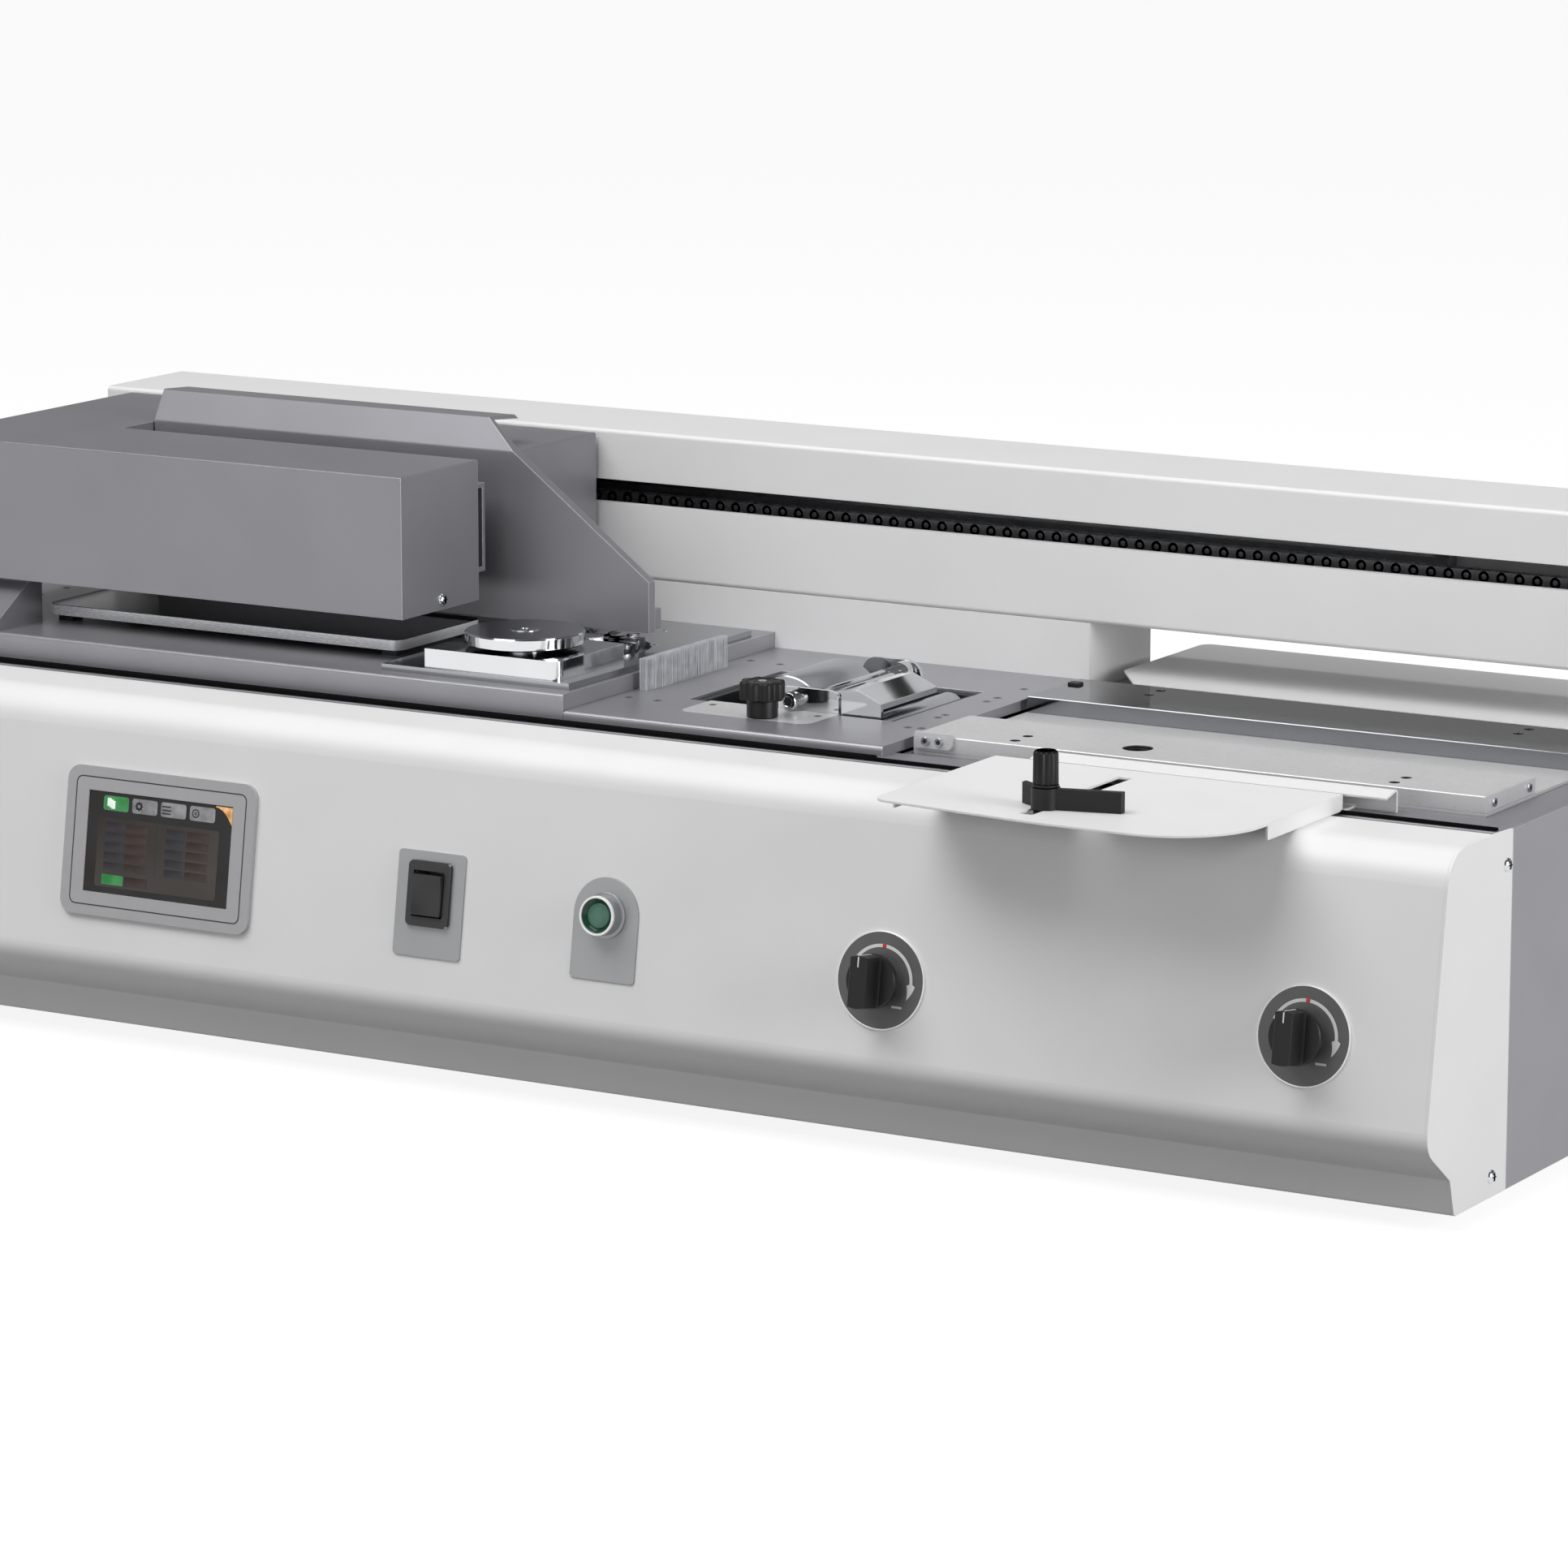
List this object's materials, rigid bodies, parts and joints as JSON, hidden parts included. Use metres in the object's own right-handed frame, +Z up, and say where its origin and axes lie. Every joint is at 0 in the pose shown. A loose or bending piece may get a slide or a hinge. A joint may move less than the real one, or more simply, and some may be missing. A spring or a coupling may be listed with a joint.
{
  "type": "perfect binding machine",
  "caption": "Desktop perfect binder: a chain-driven clamp carriage carries a book over level plate, milling disc, brush, glue rollers and cover nip table.",
  "frame": {"origin": "on the floor, under the middle of the machine's box", "axes": "+X to the right along the carriage travel, +Y away from the operator, +Z up"},
  "size_m": [1.25, 0.6, 0.4074],
  "materials": {
    "white_coat": "satin",
    "grey_coat": "fine satin",
    "deck_coat": "fine satin",
    "machined_plate": "satin",
    "polished_plate": "polished",
    "steel_parts": "brushed",
    "motor_case": "satin",
    "tank_metal": "matte",
    "black_knob": "matte",
    "dark_plate": "matte",
    "feet_rubber": "matte",
    "screen_glass": "gloss",
    "bezel_grey": "matte",
    "green_lens": "gloss",
    "bristles": "matte",
    "chain_steel": "oiled"
  },
  "bodies": {
    "base": {"base_pan": "grey_coat", "side_panels": "grey_coat", "front_fascia": "white_coat", "fascia_end_plates": "white_coat", "rubber_feet": "feet_rubber", "milling_deck": "deck_coat", "glue_deck": "deck_coat", "left_hood": "grey_coat", "beam_plinth": "white_coat", "beam_cover": "white_coat", "beam_end_caps": "white_coat", "beam_rail": "steel_parts", "drive_chain": "chain_steel", "chain_motor": "motor_case", "level_plate": "polished_plate", "milling_plate": "polished_plate", "milling_block": "polished_plate", "milling_drive": "motor_case", "brush_holder": "tank_metal", "spine_brush": "bristles", "glue_tank": "tank_metal", "glue_gearbox": "motor_case", "roller_brackets": "machined_plate", "glue_cover": "polished_plate", "knob_plate": "machined_plate", "nip_deck": "grey_coat", "nip_columns": "steel_parts", "cover_tray": "white_coat", "feed_ramp": "white_coat", "rear_tray": "white_coat", "display_bezel": "bezel_grey", "display_screen": "screen_glass", "rocker_housing": "dark_plate", "button_housing": "machined_plate", "dial_plates": "dark_plate", "cable_gland": "black_knob"},
    "carriage": {"truck": "machined_plate", "carriage_cover": "grey_coat", "carriage_frame": "machined_plate", "rear_jaw": "grey_coat", "guide_rods": "steel_parts", "clamp_motor": "motor_case"},
    "front_jaw": {"front_jaw": "machined_plate"},
    "clamp_screw": {"clamp_screw": "steel_parts"},
    "drive_sprocket": {"drive_sprocket": "steel_parts"},
    "idler_sprocket": {"idler_sprocket": "steel_parts"},
    "milling_disc": {"milling_disc": "polished_plate"},
    "milling_cutter": {"milling_cutter": "steel_parts"},
    "large_roller": {"large_roller": "steel_parts"},
    "small_roller": {"small_roller": "steel_parts"},
    "glue_knob": {"glue_knob": "black_knob"},
    "nip_table": {"nip_table": "machined_plate"},
    "front_nip_plate": {"front_nip_plate": "machined_plate"},
    "rear_nip_plate": {"rear_nip_plate": "polished_plate"},
    "tray_guide": {"tray_guide": "black_knob"},
    "guide_knob": {"guide_knob": "black_knob"},
    "rocker": {"rocker": "black_knob"},
    "push_button": {"push_button": "green_lens"},
    "dial_knob_left": {"dial_knob_left": "black_knob"},
    "dial_knob_right": {"dial_knob_right": "black_knob"}
  },
  "joints": [
    {"name": "carriage_slide", "type": "slide", "parent": "base", "child": "carriage", "axis": [1, 0, 0], "range_m": [0, 0.7]},
    {"name": "jaw_slide", "type": "slide", "parent": "carriage", "child": "front_jaw", "axis": [0, 1, 0], "range_m": [-0.02, 0.014]},
    {"name": "screw_turn", "type": "hinge", "parent": "carriage", "child": "clamp_screw", "pos_m": [-0.353, -0.055, 0.336], "axis": [0, 1, 0], "range_deg": [-1810, 1270]},
    {"name": "drive_sprocket_turn", "type": "hinge", "parent": "base", "child": "drive_sprocket", "pos_m": [0.575, 0.19, 0.31405], "axis": [0, 1, 0], "continuous": true},
    {"name": "idler_sprocket_turn", "type": "hinge", "parent": "base", "child": "idler_sprocket", "pos_m": [-0.58, 0.19, 0.31405], "axis": [0, 1, 0], "continuous": true},
    {"name": "disc_turn", "type": "hinge", "parent": "base", "child": "milling_disc", "pos_m": [-0.12495, -0.061, 0.2735], "axis": [0, 0, 1], "continuous": true},
    {"name": "cutter_turn", "type": "hinge", "parent": "base", "child": "milling_cutter", "pos_m": [-0.12495, 0.02, 0.256], "axis": [0, 0, 1], "continuous": true},
    {"name": "large_roller_turn", "type": "hinge", "parent": "base", "child": "large_roller", "pos_m": [0.0531, 0.0255, 0.233], "axis": [0, 1, 0], "continuous": true},
    {"name": "small_roller_turn", "type": "hinge", "parent": "base", "child": "small_roller", "pos_m": [0.1281, 0.0255, 0.233], "axis": [0, 1, 0], "continuous": true},
    {"name": "glue_knob_turn", "type": "hinge", "parent": "base", "child": "glue_knob", "pos_m": [0.0656, -0.071, 0.245], "axis": [0, 0, 1], "range_deg": [-170, 170]},
    {"name": "table_lift", "type": "slide", "parent": "base", "child": "nip_table", "axis": [0, 0, 1], "range_m": [0, 0.02]},
    {"name": "front_nip_slide", "type": "slide", "parent": "nip_table", "child": "front_nip_plate", "axis": [0, 1, 0], "range_m": [0, 0.048]},
    {"name": "rear_nip_slide", "type": "slide", "parent": "nip_table", "child": "rear_nip_plate", "axis": [0, -1, 0], "range_m": [0, 0.029]},
    {"name": "guide_slide", "type": "slide", "parent": "base", "child": "tray_guide", "axis": [0, 1, 0], "range_m": [-0.018, 0.096]},
    {"name": "guide_knob_turn", "type": "hinge", "parent": "tray_guide", "child": "guide_knob", "pos_m": [0.378, -0.26, 0.2628], "axis": [0, 0, 1], "range_deg": [-120, 120]},
    {"name": "rocker_tip", "type": "hinge", "parent": "base", "child": "rocker", "pos_m": [-0.0934, -0.22338, 0.13717], "axis": [1, 0, 0], "range_deg": [-12, 0]},
    {"name": "button_press", "type": "slide", "parent": "base", "child": "push_button", "axis": [0, 0.9888, -0.1495], "range_m": [0, 0.004], "stiffness_N_per_m": 200, "springref_m": -0.003},
    {"name": "left_dial_turn", "type": "hinge", "parent": "base", "child": "dial_knob_left", "pos_m": [0.2454, -0.22794, 0.12037], "axis": [0, -0.9888, 0.1495], "range_deg": [-140, 140]},
    {"name": "right_dial_turn", "type": "hinge", "parent": "base", "child": "dial_knob_right", "pos_m": [0.5391, -0.22794, 0.12037], "axis": [0, -0.9888, 0.1495], "range_deg": [-140, 140]}
  ],
  "couplings": [
    {"joint": "screw_turn", "follows": "jaw_slide", "rad_per_m": 1570.8},
    {"joint": "drive_sprocket_turn", "follows": "carriage_slide", "rad_per_m": 48.664},
    {"joint": "idler_sprocket_turn", "follows": "carriage_slide", "rad_per_m": 48.664},
    {"joint": "cutter_turn", "follows": "disc_turn", "ratio": -1},
    {"joint": "small_roller_turn", "follows": "large_roller_turn", "ratio": -2.5}
  ]
}
